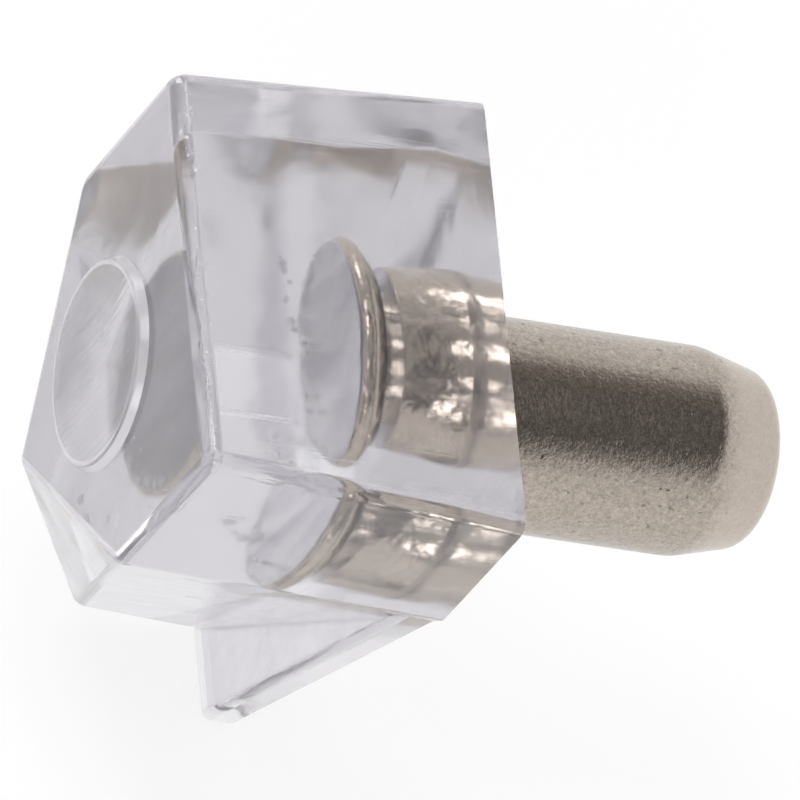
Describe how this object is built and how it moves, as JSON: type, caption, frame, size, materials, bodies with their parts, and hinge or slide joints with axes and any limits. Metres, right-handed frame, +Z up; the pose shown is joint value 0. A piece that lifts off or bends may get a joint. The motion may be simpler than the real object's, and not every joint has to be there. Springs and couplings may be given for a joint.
{
  "type": "shelf support pin",
  "caption": "Clear moulded shelf support head with a flat seat and a keeled underside, on a round steel pin that plugs into a drilled cabinet side.",
  "frame": {"origin": "on the pin's axis, in the plane of the cabinet wall that the head sits against", "axes": "+X along the pin into the wall, +Z up through the shelf seat, Y across the head"},
  "size_m": [0.0169, 0.0116, 0.0159],
  "materials": {
    "clear_plastic": "gloss",
    "nickel_steel": "satin"
  },
  "bodies": {
    "root": {"clear_head": "clear_plastic", "steel_pin": "nickel_steel"}
  },
  "joints": []
}
